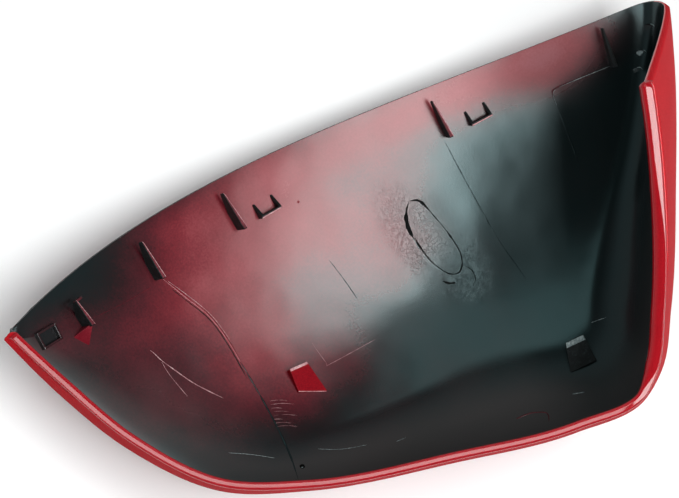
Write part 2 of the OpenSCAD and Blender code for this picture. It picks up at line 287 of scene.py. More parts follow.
# How many cells a pattern has per metre. Real flakes are far finer, and are drawn coarse enough to show.
FLAKES, POOLS, PEEL = 2600.0, 60.0, 480.0                       # cells of 0.4, 17 and 2 mm
GRAIN, CLOUDS, DRIFTS = 1300.0, 42.0, 12.0                      # 0.8, 24 and 83 mm
SAG, SMEARS, FERNS = 34.0, 26.0, 330.0                          # 29, 38 and 3 mm
PITS, STREAKS = 1500.0, 420.0                                   # 0.7 and 2.4 mm
ABS_IOR = 1.5


def red_car_paint(name, coat_ior, peel_depth, deep="#b8141f", bright="#cf2029"):
    """Sprayed candy red basecoat under clear lacquer: deep saturated red, a wet edge and faint orange peel.
    The lacquer thins out on the wall that leans in, which stays a quiet red."""
    mat, tree, where = new_material(name)
    flakes = add_node(tree, "ShaderNodeTexNoise", {"Vector": where}, Scale=FLAKES, Detail=2.0)
    pools = add_node(tree, "ShaderNodeTexNoise", {"Vector": where}, Scale=POOLS, Detail=3.0)
    peel = add_node(tree, "ShaderNodeTexNoise", {"Vector": where}, Scale=PEEL, Detail=3.0)
    tint = add_node(tree, "ShaderNodeValToRGB", {"Fac": sum_of(tree, (flakes, 0.8), (pools, 0.2))},
                    [(0.38, linear(deep)), (0.62, linear(bright))])
    gloss = add_node(tree, "ShaderNodeAttribute", attribute_name="gloss").outputs["Fac"]
    bump = add_node(tree, "ShaderNodeBump", {"Height": peel}, Strength=peel_depth, Distance=0.0004)
    paint = add_node(tree, "ShaderNodeBsdfPrincipled", {"Base Color": tint, "Normal": bump, "Coat Weight": gloss},
                     Roughness=0.42, Specular_IOR_Level=0.0, Coat_Roughness=0.06, Coat_IOR=coat_ior)
    add_node(tree, "ShaderNodeOutputMaterial", {"Surface": paint})
    return mat


def black_abs(oval_place, oval_turn):
    """Moulded black ABS with drifted red overspray: near black and half gloss where bare, crimson and then a dry
    dusty pink where the spray landed. Scraped plastic breaks the gloss round the oval scar in the middle."""
    mat, tree, where = new_material("moulded_black_abs_overspray")
    mist, coat, dry = [add_node(tree, "ShaderNodeAttribute", attribute_name=name).outputs["Fac"]
                       for name in ("mist", "coat", "dry")]
    grain = add_node(tree, "ShaderNodeTexNoise", {"Vector": where}, Scale=GRAIN, Detail=3.0)
    clouds = add_node(tree, "ShaderNodeTexNoise", {"Vector": where}, Scale=CLOUDS, Detail=6.0, Roughness=0.62)
    drifts = add_node(tree, "ShaderNodeTexNoise", {"Vector": where}, Scale=DRIFTS, Detail=2.0)
    sag = add_node(tree, "ShaderNodeTexNoise", {"Vector": where}, Scale=SAG, Detail=1.5)
    smears = add_node(tree, "ShaderNodeTexNoise", {"Vector": where}, Scale=SMEARS, Detail=4.0, Roughness=0.6)
    ferns = add_node(tree, "ShaderNodeTexNoise", {"Vector": where}, Scale=FERNS, Detail=2.0, Distortion=3.5)

    # The spray's colour: bare plastic, crimson, then pink, made uneven where there is some.
    uneven = add_node(tree, "ShaderNodeMath", {0: sum_of(tree, (grain, 0.30), (clouds, 0.55), (drifts, 0.25))},
                      operation="SUBTRACT", in_1=0.55)
    liveliness = add_node(tree, "ShaderNodeValToRGB", {"Fac": mist}, [(0.0, grey(0.12)), (0.4, grey(1.0))])
    lively = add_node(tree, "ShaderNodeMath", {0: uneven, 1: liveliness}, operation="MULTIPLY")
    spread = sum_of(tree, mist, lively)
    colour = add_node(tree, "ShaderNodeValToRGB", {"Fac": spread}, [
        (0.0, linear("#0d1415")), (0.08, linear("#1c1012")), (0.25, linear("#46111a")),
        (0.50, linear("#711723")), (0.75, linear("#8b2a35")), (1.0, linear("#a44e57"))])

    # Dry dust on the wall under the rim, then full paint that ran in from the rim.
    dusty = add_node(tree, "ShaderNodeMath", {0: dry, 1: dry}, operation="MULTIPLY")
    walls = add_node(tree, "ShaderNodeMix", {0: sum_of(tree, (dusty, 0.6), (uneven, 0.2)), 6: colour},
                     data_type="RGBA", in_7=linear("#4c4342")).outputs[2]
    painted = add_node(tree, "ShaderNodeMix", {0: coat, 6: walls}, data_type="RGBA", in_7=linear("#8e0c14")).outputs[2]

    # Scraped plastic round the oval scar: fern-like traces that fade out with the distance from its middle.
    centred = add_node(tree, "ShaderNodeMapping", {"Vector": where}, vector_type="TEXTURE",
                       Location=oval_place, Rotation=oval_turn, Scale=(0.0158, 0.0072, 1.0))
    reach = add_node(tree, "ShaderNodeVectorMath", {"Vector": centred}, operation="LENGTH").outputs["Value"]
    near = add_node(tree, "ShaderNodeMapRange", {"Value": sum_of(tree, reach, (clouds, 0.8))},
                    interpolation_type="SMOOTHSTEP", From_Min=1.3, From_Max=2.6, To_Min=1.0, To_Max=0.0)
    feather = add_node(tree, "ShaderNodeValToRGB", {"Fac": ferns}, [(0.44, grey(0)), (0.50, grey(1)), (0.56, grey(0))])
    frost = add_node(tree, "ShaderNodeMath", {0: near, 1: feather}, operation="MULTIPLY")
    scraped = add_node(tree, "ShaderNodeMix", {0: sum_of(tree, (frost, 0.28)), 6: painted}, data_type="RGBA",
                       in_7=linear("#070a0a")).outputs[2]

    # Gloss: smooth where bare, duller with spray, frost, smears and dry dust, over a slightly wavy skin.
    dull = add_node(tree, "ShaderNodeValToRGB", {"Fac": spread},
                    [(0.0, grey(0.12)), (0.35, grey(0.14)), (1.0, grey(0.22))])
    rough = sum_of(tree, dull, (frost, 0.10), (smears, 0.14), (dry, 0.42))
    wavy = add_node(tree, "ShaderNodeBump", {"Height": sag}, Strength=1.0, Distance=0.0005)
    bump = add_node(tree, "ShaderNodeBump", {"Height": sum_of(tree, (grain, 0.25), (frost, 0.5)), "Normal": wavy},
                    Strength=0.12, Distance=0.0004)
    cast = add_node(tree, "ShaderNodeValToRGB", {"Fac": spread}, [
        (0.0, (0.68, 0.97, 1.0, 1.0)), (0.16, (0.95, 0.96, 0.96, 1.0)), (0.6, (1.0, 0.90, 0.89, 1.0))])
    body = add_node(tree, "ShaderNodeBsdfPrincipled", {"Base Color": scraped, "Roughness": rough, "Normal": bump,
                                                       "Specular Tint": cast}, IOR=ABS_IOR)
    add_node(tree, "ShaderNodeOutputMaterial", {"Surface": body})
    return mat


def scuffed_abs(name, deep, middle, pale, shine=0.5):
    """Scraped or dusted ABS: a dry tone in three colours, mottled, with fine pits."""
    mat, tree, where = new_material(name)
    pits = add_node(tree, "ShaderNodeTexNoise", {"Vector": where}, Scale=PITS, Detail=4.0, Roughness=0.7)
    streaks = add_node(tree, "ShaderNodeTexNoise", {"Vector": where}, Scale=STREAKS, Detail=3.0)
    tint = add_node(tree, "ShaderNodeValToRGB", {"Fac": sum_of(tree, (pits, 0.6), (streaks, 0.4))},
                    [(0.36, linear(deep)), (0.52, linear(middle)), (0.66, linear(pale))])
    bump = add_node(tree, "ShaderNodeBump", {"Height": pits}, Strength=0.25, Distance=0.0003)
    body = add_node(tree, "ShaderNodeBsdfPrincipled", {"Base Color": tint, "Normal": bump}, Roughness=0.6,
                    Specular_IOR_Level=shine)
    add_node(tree, "ShaderNodeOutputMaterial", {"Surface": body})
    return mat


OVAL = (141.6, -38.0)
oval_way = TURN.to_3x3() @ (wall_at(147.8, -49.8) - wall_at(138.3, -24.2))
PAINT = red_car_paint("candy_red_lacquer", 1.45, 0.05)
# The rim's lacquer is thicker, and its red is darker than the wall's paint: painted shade.
RIM_PAINT_IN_PAINTED_SHADE = red_car_paint("thick_red_lacquer_of_the_rim", 1.5, 0.16, "#960f1a", "#ad1520")
BARE = black_abs(REST @ wall_at(*OVAL), (0.0, 0.0, math.atan2(oval_way.y, oval_way.x)))
# Pale scraped plastic, also used for painted glints on lines and pin marks.
SCUFF_AND_GLINT = scuffed_abs("stress_whitened_abs_and_painted_glints", "#3a4244", "#8d9a9b", "#cfd6d4")
# Pale pink scratches, also used for a painted highlight along the crease.
SCRATCH_AND_HIGHLIGHT = scuffed_abs("dusty_pink_scratch_and_painted_highlight", "#6b3a3f", "#b07c80", "#e3c4c2")
# Pale pink: dry overspray on top edges, and also a painted highlight where those edges face the light.
EDGE_DUST_AND_HIGHLIGHT = scuffed_abs("overspray_and_painted_highlight_on_top_edges", "#86474d", "#b98488", "#dfc0be")
# Near-black gouges, also used for a painted shadow beside the crease.
GOUGE_AND_SHADOW = scuffed_abs("gouged_black_abs_and_painted_shadow", "#010101", "#040505", "#1c2122", 0.08)
TRIMMED = scuffed_abs("trimmed_edge_of_black_abs", "#070909", "#101415", "#2a3032", 0.2)
CLIP_DUST = scuffed_abs("thin_dry_spray_on_black_abs", "#43131b", "#641e28", "#863f48", 0.2)
CATCH_PAINT = red_car_paint("thin_red_spray_on_a_catch", 1.45, 0.05, "#72101a", "#8a151e")

# Spray that drifted inside: place along and across in millimetres, its two radii and how much landed.
SPRAY = [
    (66, 5, 20, 11, 0.32), (104, 9, 26, 14, 0.50), (140, 7, 26, 10, 0.46), (174, 5, 22, 9, 0.66),
    (208, 2, 19, 10, 0.85), (74, -14, 26, 15, 0.55), (106, -12, 20, 14, 0.42), (74, -40, 20, 18, 0.40),
    (78, -62, 11, 9, 0.20), (50, -50, 24, 24, 0.16), (96, -60, 14, 12, 0.20), (34, -18, 16, 12, 0.15),
    (26, -36, 18, 18, 0.10), (96, -82, 40, 9, 0.07), (123, -31, 19, 16, 0.36), (138, -11, 16, 11, 0.22),
    (15, -8, 14, 9, 0.16)]


def mist_at(x, y):
    total = sum(w * math.exp(-((x - cx) / rx) ** 2 - ((y - cy) / ry) ** 2) for cx, cy, rx, ry, w in SPRAY)
    return min(total, 1.0)


# Shell

# How far up a section its points stand, as skin() takes it.
OUT_RINGS = ([0.02 + 0.98 * i / 12 for i in range(12)] + [1 + i / 14 for i in range(14)]
             + [2 + i / 12 for i in range(12)])
IN_RINGS = ([0.01, 0.03] + [0.06 + 0.94 * i / 30 for i in range(30)] + [1 + i / 18 for i in range(18)]
            + [2 + i / 12 for i in range(12)] + [2.96, 3.0])
SQUEEZE = 0.88                      # draws the points of a section that is cut short towards its end
FLAT_FACE = 3.0                     # width of the rim's flat face where the bead is full
FACE_LEAN = 0.15                    # how much the flat face falls to the outside, per millimetre
CAP = 2.6                           # length of the rounded end of the rim
CRACK = 3.5                         # how far from the rim's end a fine line crosses it


def ring_at(q, end):
    return min(q, end * (SQUEEZE + (1 - SQUEEZE) * q / 3))


def rim_points(sec):
    """The rim from its outer ledge over the flat face to the inner rounding, and how the bead moves the inner wall."""
    s, into = sec["s"], Vector((*sec["in"], 0))
    up = Vector((0, 0, 1))
    near_end = ramp(RIM_STOP - s, 0, BEAD_END) ** 0.5
    lift = RIM_ROUND * (1 - (1 - ramp(RIM_STOP - s, 0, CAP)) ** 2) ** 0.5
    lift -= 0.16 * math.exp(-((RIM_STOP - CRACK - s) / 0.22) ** 2)
    groove = RIM_GROOVE * near_end * ramp(s, knots[9], knots[9] + GROOVE_RUN)
    thick = RIM_BEAD * near_end * ramp(s, knots[7], knots[8])
    climb = DEPTH - RIM_ROUND - sec["z"]
    edge = skin(sec, 3, OUTER)
    points = [skin(sec, 3 - drop / climb, OUTER) - into * groove * out
              for drop, out in ((1.1, 0.0), (0.75, 0.45), (0.45, 0.9), (LEDGE_DROP, 1.0), (0.14, 0.75))]
    wide = RIM_WIDTH + thick
    full = FLAT_FACE * thick / RIM_BEAD + 2.1 * (1 - thick / RIM_BEAD)
    share = max(1 - ease(s, 238, 248), ease(s, 288, 322))
    flat = 0.5 + (full - 0.5) * share
    points.append(edge - up * groove)
    points += [edge + into * across + up * ((lift - FACE_LEAN * (flat - across)) * rise - groove * (1 - rise) * 0.4)
               for across, rise in ((0.05, 0.40), (0.12, 0.75), (0.24, 0.94), (0.40, 1.0))]
    points += [edge + into * (0.4 + (flat - 0.4) * t) + up * (lift - FACE_LEAN * (flat - 0.4) * (1 - t))
               for t in (0.33, 0.67, 1.0)]
    fall = lift + BEAD_DROP * thick
    for t in (0.12, 0.28, 0.46, 0.64, 0.80, 0.92):
        points.append(edge + into * (flat + (wide - flat) * t) + up * (lift - fall * (1 - (1 - t * t) ** 0.5)))
    middle = edge + into * wide / 2
    round_end = 0.35 + 0.65 * (1 - (1 - ramp(RIM_STOP - s, 0, CAP)) ** 2) ** 0.5
    for i in range(6, len(points) - 2):
        points[i] += into * (middle - points[i]).dot(into) * (1 - round_end)
    return points, thick * (into - up * BEAD_DROP)


RIM_COUNT = 19                      # points of the rim
LEDGE_COUNT = 5                     # those of them before its flat face
WALL_GLOSS = 0.07                   # lacquer left on the wall that leans in, and on the cut edge
DRY_PATCH = (206, 2, 20, 11, 0.75)  # dry spray near the deep end: place, radii and strength
PAINTED, INSIDE, ON_RIM, ON_CUT = range(4)


def cut_points(sec, ends):
    """The thin edge: a generous painted rounding on the side wall, a small bare one along the panel."""
    wide_round = 0.3 + 1.7 * ease(ends[0], 1.3, 1.9)
    metric = (skin(sec, ends[0], OUTER) - skin(sec, ends[0] - 0.02, OUTER)).length / 0.02
    start = ends[0] - wide_round / metric
    a, b, c = skin(sec, start, OUTER), skin(sec, ends[0], OUTER), skin(sec, ends[1], INNER)
    b = b.lerp(c, 0.04)
    ts = [i / RIM_COUNT for i in range(RIM_COUNT)]
    return [a * (1 - t) ** 2 + b * 2 * t * (1 - t) + c * t * t for t in ts], start


def profile(sec):
    """All points of one section, from the outer side of the hub over the rim to the inner side."""
    ends = (end_of(sec, OUTER), end_of(sec, INNER))
    bead = Vector((0, 0, 0))
    if ends == (3.0, 3.0):
        middle, bead = rim_points(sec)
        top = 3.0
    else:
        middle, top = cut_points(sec, ends)
    points = [skin(sec, ring_at(q, top), OUTER) for q in OUT_RINGS] + middle
    points += [skin(sec, ring_at(q, ends[1]), INNER) + bead * max(q - 2, 0) ** 2 for q in reversed(IN_RINGS)]
    return points, ends


def stations():
    """Places round the outline, closer together at the tip, at the rim's end and where the corners turn."""
    places = [0.0]
    while places[-1] < ROUND - 0.9:
        s = places[-1]
        near = min(abs(s - RIM_STOP + 1.5) / 9, abs(s - 376) / 25, s / 20, (ROUND - s) / 20)
        fine = 0.16 if abs(s - RIM_STOP + 1.7) < 2.4 else 0.5
        places.append(s + min(2.2, fine + 1.7 * near) if s < 400 or s > ROUND - 40 else s + 2.6)
    return places


SPRAY_LAYERS = ("mist", "coat", "gloss", "dry")


def sheet(columns):
    """A grid whose stations follow the columns of points. Returns it with its vertices in that order."""
    across, along = len(columns[0]), len(columns)
    bm = bmesh.new()
    for name in SPRAY_LAYERS:
        bm.verts.layers.float.new(name)
    bmesh.ops.create_grid(bm, x_segments=along - 1, y_segments=across - 1, size=1.0)
    order = sorted(bm.verts, key=lambda v: (round(v.co.x, 6), round(v.co.y, 6)))
    for i, v in enumerate(order):
        v.co = columns[i // across][i % across]
    return bm, order


def make_shell():
    """The shell as one closed sheet, with what spray and lacquer each place carries."""
    places = stations()
    made = [profile(section(s)) for s in places]
    columns, ends = [m[0] for m in made], [m[1] for m in made]
    bm, order = sheet(columns + columns[:1])
    mist, coat, gloss, dry = [bm.verts.layers.float[name] for name in SPRAY_LAYERS]
    across = len(columns[0])
    rim_from = len(OUT_RINGS)
    inner_from = rim_from + RIM_COUNT
    patch_x, patch_y, wide, high, strength = DRY_PATCH
    place = {}
    for i, v in enumerate(order):
        column, rank = (i // across) % len(columns), i % across
        place[v] = (column, rank)
        along = places[column]
        v[mist] = mist_at(v.co.x, v.co.y)
        v[gloss] = 1.0
        v[dry] = strength * math.exp(-((v.co.x - patch_x) / wide) ** 2 - ((v.co.y - patch_y) / high) ** 2)
        if rank < rim_from + LEDGE_COUNT:
            height = OUT_RINGS[rank] if rank < rim_from else 3.0
            v[gloss] = 1 - (1 - WALL_GLOSS) * ease(height, 1.6, 2.0)
        if ends[column][0] < 3 and rim_from <= rank < inner_from:
            v[mist] *= 0.1
            v[gloss] = WALL_GLOSS if rank < inner_from - 2 else 1.0
        if ends[column] == (3.0, 3.0) and rank >= inner_from:
            v[coat] = 1 - ease(columns[column][inner_from].z - v.co.z, 0.3, 3.2)
            start = 0.82 + 0.13 * ease(along, 60, 110) + 0.4 * ease(along, 200, 270)
            height = IN_RINGS[inner_from - 1 - rank]
            v[dry] = (0.65 + 0.35 * ease(along, 60, 130)) * ease(height, start, start + 0.5)
    for face in bm.faces:
        first = min(place[v][1] for v in face.verts)
        end = max(ends[place[v][0]][0] for v in face.verts)
        if first >= inner_from:
            face.material_index = INSIDE
        elif end < 1.5 and first >= rim_from:
            face.material_index = ON_CUT
        elif end == 3.0 and first >= rim_from + LEDGE_COUNT:
            face.material_index = ON_RIM
        else:
            face.material_index = PAINTED
    bmesh.ops.remove_doubles(bm, verts=bm.verts, dist=0.0005)
    bmesh.ops.holes_fill(bm, edges=[e for e in bm.edges if e.is_boundary], sides=0)
    for face in bm.faces:
        face.smooth = True
    return bm


def add_piece(name, bm, materials, extra=0.0, coated=0.0):
    """Finishes a piece that was built in the sketch's frame: spray that landed on it, place, slot and node."""
    if "mist" not in bm.verts.layers.float.keys():
        layer = bm.verts.layers.float.new("mist")
        for v in bm.verts:
            v[layer] = min(1.0, max(0.0, mist_at(v.co.x, v.co.y) + extra))
    for kind, value in (("coat", coated), ("gloss", 1.0), ("dry", 0.0)):
        if kind not in bm.verts.layers.float.keys():
            layer = bm.verts.layers.float.new(kind)
            for v in bm.verts:
                v[layer] = value
    bmesh.ops.transform(bm, matrix=REST, verts=bm.verts)
    bmesh.ops.recalc_face_normals(bm, faces=bm.faces)
    mesh = bpy.data.meshes.new(name)
    bm.to_mesh(mesh)
    bm.free()
    for mat in materials:
        mesh.materials.append(mat)
    piece = bpy.data.objects.new(name, mesh)
    bpy.context.scene.collection.objects.link(piece)
    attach(piece, "root")
    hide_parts("mirror_cover")
    return piece


add_piece("cover_shell", make_shell(), [PAINT, BARE, RIM_PAINT_IN_PAINTED_SHADE, TRIMMED])

# Moulded features, each drawn with its length along Y and its height along Z, then stood on the wall.

SINK = 0.6 * WALL


def stand(here, way, off, turn=0.0):
    """Stands a feature at a place, its length along the way and its height off the wall."""
    side = way.cross(off).normalized()
    frame_of = Matrix((side, way, side.cross(way))).transposed().to_4x4()
    return Matrix.Translation(here) @ frame_of @ Matrix.Rotation(math.radians(turn), 4, "Z")


def on_panel(share_x, share_y, turn=0.0):
    """Where a feature stands on the panel, by shares of the length and width."""
    x, y = share_x * LENGTH, share_y * WIDTH
    dx = (panel(x + PROBE, y, INNER) - panel(x - PROBE, y, INNER)) / (2 * PROBE)
    dy = (panel(x, y + PROBE, INNER) - panel(x, y - PROBE, INNER)) / (2 * PROBE)
    return stand(Vector((x, y, panel(x, y, INNER))), Vector((0, 1, dy)).normalized(), Vector((-dx, -dy, 1)), turn)


def on_curl(foot, head):
    """Where a feature stands on the curl, from foot to head, each a share round the outline and a height."""
    here = skin(section(foot[0] * ROUND), foot[1], INNER)
    way = (skin(section(head[0] * ROUND), head[1], INNER) - here).normalized()
    s, q = (foot[0] + head[0]) / 2 * ROUND, (foot[1] + head[1]) / 2
    along = skin(section(s + PROBE), q, INNER) - skin(section(s - PROBE), q, INNER)
    return stand(here, way, along.cross(way))


def slab(outline, shift):
    """An outline of points, given thickness along the shift."""
    bm = bmesh.new()
    face = bm.faces.new([bm.verts.new(p) for p in outline])
    made = bmesh.ops.extrude_face_region(bm, geom=[face])["geom"]
    bmesh.ops.translate(bm, verts=[g for g in made if isinstance(g, bmesh.types.BMVert)], vec=shift)
    return bm


def soften(bm, offset, segments=2):
    """Rounds every edge a little."""
    bmesh.ops.recalc_face_normals(bm, faces=bm.faces)
    bmesh.ops.bevel(bm, geom=bm.edges[:], offset=offset, segments=segments, affect="EDGES", profile=0.5, material=-1)


def spray_and_highlight_by_height(bm, base, top, from_height, to_height):
    """Spray lands thickest on the top edges, and the tops are made paler as a painted highlight too: base on the
    flanks, top on what stands high. Local heights.
    """
    layer = bm.verts.layers.float.new("mist")
    for v in bm.verts:
        v[layer] = base + (top - base) * ease(v.co.z, from_height, to_height)


def dust_and_highlight_on_top(bm, above, before=99.0):
    """Gives the faces that look up, above a height and before a place along, the second material: pale dust there, and
    a painted highlight.
    """
    for face in bm.faces:
        if face.normal.z > 0.75 and min(v.co.z for v in face.verts) > above and face.calc_center_median().y < before:
            face.material_index = 1


HOOK_LENGTH, HOOK_HEIGHT, HOOK_MOUTH, HOOK_ROOT, HOOK_THICK, HOOK_TIP = 14.5, 6.7, 3.4, 6.8, 1.7, 0.8
# Place along and across as shares, turn in degrees and length in mm, from the tip to the deep end.
HOOKS = [(0.092, -0.081, 5.8, 10.3), (0.201, -0.050, 2.1, 14.5), (0.329, -0.028, 3.5, 14.5),
         (0.644, -0.063, 0.1, 14.5), (0.895, -0.100, -9.0, 14.5)]


def hook(length):
    """A tapering blade with an undercut mouth: its top is thinly sprayed, and the top edge on the side that faces the
    key light is painted pale as a painted highlight.
    """
    root = HOOK_ROOT * length / HOOK_LENGTH
    bm = slab([(0, y, z) for y, z in (
        (0, -SINK), (root, -SINK), (root + 0.4, 0.1), (length, HOOK_MOUTH), (length, HOOK_HEIGHT - 0.9),
        (length - 0.7, HOOK_HEIGHT - 0.3), (0, HOOK_HEIGHT))], (HOOK_THICK, 0, 0))
    for v in bm.verts:
        v.co.x *= 1 - (1 - HOOK_TIP / HOOK_THICK) * ramp(v.co.y, 0, length)
    soften(bm, 0.34)
    bm.normal_update()
    # Slots: 0 flanks, 1 the top edge on the lit side, painted pale as a painted highlight, 2 the sprayed top.
    for face in bm.faces:
        if min(v.co.z for v in face.verts) > HOOK_HEIGHT - 1.2:
            lit = face.normal.z > 0.2 and face.normal.x > 0.2
            face.material_index = 2 if face.normal.z > 0.97 else int(lit)
    return bm


for number, (share_x, share_y, turn, length) in enumerate(HOOKS, 1):
    bm = hook(length)
    bmesh.ops.transform(bm, matrix=on_panel(share_x, share_y, turn), verts=bm.verts)
    add_piece(f"hook_{number}", bm, [TRIMMED, EDGE_DUST_AND_HIGHLIGHT, CLIP_DUST] if number < 5 else [TRIMMED] * 3)


FOOT_CORNERS = [(100, (1.4, 1.4)), (220, (-6.2, -0.4)), (361, (-2.2, -7.4))]     # turn below which a corner goes where


def first_hook_foot():
    """The three-cornered buttress under the root of the hook nearest the tip."""
    bm = bmesh.new()
    bmesh.ops.create_cone(bm, cap_ends=True, segments=3, radius1=3.0, radius2=0.4, depth=1.0)
    for v in bm.verts:
        if v.co.z < 0:
            a = math.degrees(math.atan2(v.co.y, v.co.x)) % 360
            v.co = Vector((*next(corner for turn, corner in FOOT_CORNERS if a < turn), -SINK))
        else:
            v.co = Vector((0.8 + v.co.x, 0.6 + v.co.y, HOOK_HEIGHT - 0.9))
    soften(bm, 0.25)
    # Paler towards its top: spray and a painted highlight.
    spray_and_highlight_by_height(bm, 0.4, 0.7, 2.0, 5.0)
    # Its upward faces pale: dust and a painted highlight.
    dust_and_highlight_on_top(bm, 0.5)
    return bm


bm = first_hook_foot()
bmesh.ops.transform(bm, matrix=on_panel(*HOOKS[0][:3]), verts=bm.verts)
add_piece("hook_1_foot", bm, [BARE, EDGE_DUST_AND_HIGHLIGHT])

# A small flange at the free end of the first hook.
flange = [(9.4, HOOK_MOUTH + 0.6), (10.2, HOOK_MOUTH + 0.6), (10.2, HOOK_HEIGHT - 1.0), (9.4, HOOK_HEIGHT - 0.6)]
bm = slab([(0, y, z) for y, z in flange], (3.4, 0, -0.5))
soften(bm, 0.15)
# Paler towards its top: spray and a painted highlight.
spray_and_highlight_by_height(bm, 0.18, 0.45, 5.0, 6.4)
bmesh.ops.transform(bm, matrix=on_panel(*HOOKS[0][:3]), verts=bm.verts)
add_piece("hook_1_flange", bm, [BARE])

BRACKET_WIDTH, BRACKET_LENGTH, BRACKET_HEIGHT, BRACKET_WALL = 8.2, 5.4, 4.0, 0.9
# Place along and across as shares.
BRACKETS = [(0.362, -0.026), (0.682, -0.064)]


def bracket():
    """Two arms that rise from nothing to a cross bar."""
    w, l, t = BRACKET_WIDTH, BRACKET_LENGTH, BRACKET_WALL
    bm = slab([(x, y, -SINK) for x, y in (
        (0, 0), (w, 0), (w, l), (w - t, l), (w - t, t), (t, t), (t, l), (0, l))], (0, 0, BRACKET_HEIGHT + SINK))
    for cut in (t / 2, t):
        everything = bm.faces[:] + bm.edges[:] + bm.verts[:]
        bmesh.ops.bisect_plane(bm, geom=everything, plane_co=(0, cut, 0), plane_no=(0, 1, 0))
    for v in bm.verts:
        if v.co.z > 0:
            v.co.z = BRACKET_HEIGHT - (BRACKET_HEIGHT - 0.3) * ramp(v.co.y, t, l)
    bmesh.ops.recalc_face_normals(bm, faces=bm.faces)
    bmesh.ops.bevel(bm, geom=[e for e in bm.edges if min(v.co.z for v in e.verts) > 0], offset=0.14, segments=2,
                    affect="EDGES", profile=0.5, material=-1)
    # The bar's top painted pale: dust and a painted highlight.
    dust_and_highlight_on_top(bm, BRACKET_HEIGHT - 0.4, t / 2)
    return bm


for number, (share_x, share_y) in enumerate(BRACKETS, 1):
    bm = bracket()
    bmesh.ops.transform(bm, matrix=on_panel(share_x, share_y), verts=bm.verts)
    add_piece(f"bracket_{number}", bm, [TRIMMED, EDGE_DUST_AND_HIGHLIGHT])

CATCH_WIDTH, CATCH_FOOT, CATCH_LENGTH, CATCH_HEIGHT, CATCH_STEP = 6.9, 10.0, 10.2, 3.0, 0.6


def catch_ramp(flared, land, skew):
    """A ramp with a flat land at its high end; one side straight, the other flared towards the foot."""
    w, flare, l = CATCH_WIDTH / 2, CATCH_FOOT - CATCH_WIDTH, CATCH_LENGTH
    bm = slab([(flared * x, y, -SINK) for x, y in ((-w, skew / 2), (w + flare, -skew / 2), (w, l), (-w, l))],
              (0, 0, CATCH_HEIGHT + SINK))
    everything = bm.faces[:] + bm.edges[:] + bm.verts[:]
    bmesh.ops.bisect_plane(bm, geom=everything, plane_co=(0, l - land, 0), plane_no=(0, 1, 0))
    for v in bm.verts:
        if v.co.z > 0:
            v.co.z = CATCH_STEP + (CATCH_HEIGHT - CATCH_STEP) * min(1.0, v.co.y / (l - land))
    bmesh.ops.recalc_face_normals(bm, faces=bm.faces)
    bmesh.ops.bevel(bm, geom=[e for e in bm.edges if min(v.co.z for v in e.verts) > -SINK / 2], offset=0.2, segments=2,
                    affect="EDGES", profile=0.5, material=-1)
    return bm


# The red catch; its land and its foot's front edge are painted pale as a painted highlight of its lit edges.
bm = catch_ramp(1, 0.8, 4.0)
layer = bm.verts.layers.float.new("gloss")
for v in bm.verts:
    v[layer] = 0.03
for face in bm.faces:
    on_land = min(v.co.z for v in face.verts) > CATCH_HEIGHT - 0.1
    on_foot = face.calc_area() < 4 and face.normal.z > 0.3 and face.calc_center_median().y < 0.3
    face.material_index = int(on_land or on_foot)
bmesh.ops.transform(bm, matrix=on_curl((0.117, 0.777), (0.092, 0.678)), verts=bm.verts)
add_piece("catch_1", bm, [CATCH_PAINT, EDGE_DUST_AND_HIGHLIGHT])

# The black catch, its land scuffed pale.
bm = catch_ramp(-1, 2.2, 0.0)
for face in bm.faces:
    if min(v.co.z for v in face.verts) > CATCH_HEIGHT - 0.05:
        face.material_index = 1
bmesh.ops.transform(bm, matrix=on_curl((0.319, 1.279), (0.327, 1.061)), verts=bm.verts)
add_piece("catch_2", bm, [TRIMMED, SCUFF_AND_GLINT])

SOCKET_LENGTH, SOCKET_WIDTH, SOCKET_HEIGHT, SOCKET_WALL = 8.0, 6.0, 2.2, 1.1


def tip_socket():
    """A low box with a sunk floor and rounded edges."""
    l, w = SOCKET_LENGTH / 2, SOCKET_WIDTH / 2
    bm = slab([(x, y, -SINK) for x, y in ((-l, -w), (l, -w), (l, w), (-l, w))], (0, 0, SOCKET_HEIGHT + SINK))
    top = max(bm.faces, key=lambda f: f.calc_center_median().z)
    bmesh.ops.inset_region(bm, faces=[top], thickness=SOCKET_WALL)
    bmesh.ops.inset_region(bm, faces=[top], thickness=0.05, depth=0.3 - SOCKET_HEIGHT)
    bmesh.ops.recalc_face_normals(bm, faces=bm.faces)
    bmesh.ops.bevel(bm, geom=[e for e in bm.edges if min(v.co.z for v in e.verts) > SOCKET_HEIGHT - 0.1], offset=0.18,
                    segments=2, affect="EDGES", profile=0.5, material=-1)
    # A touch paler at its top edge: spray and a painted highlight.
    spray_and_highlight_by_height(bm, 0.04, 0.12, SOCKET_HEIGHT - 0.3, SOCKET_HEIGHT)
    return bm


bm = tip_socket()
bmesh.ops.transform(bm, matrix=on_panel(0.048, -0.055), verts=bm.verts)
add_piece("tip_socket", bm, [BARE])

# Marks on the inner wall: witness lines of the mould, scratches and the oval scar, with a painted highlight and a
# painted shadow along the crease and painted glints among them.

def smooth_path(places, step=0.9):
    """Plan places joined by a flowing curve."""
    points = [Vector(p) for p in places]
    path = []
    for i in range(len(points) - 1):
        a, b, c, d = points[max(i - 1, 0)], points[i], points[i + 1], points[min(i + 2, len(points) - 1)]
        count = max(3, int((c - b).length / step))
        for k in range(count):
            t = k / count
            path.append(0.5 * (2 * b + (c - a) * t + (2 * a - 5 * b + 4 * c - d) * t * t
                               + (3 * b - a - 3 * c + d) * t**3))
    return path + [points[-1]]


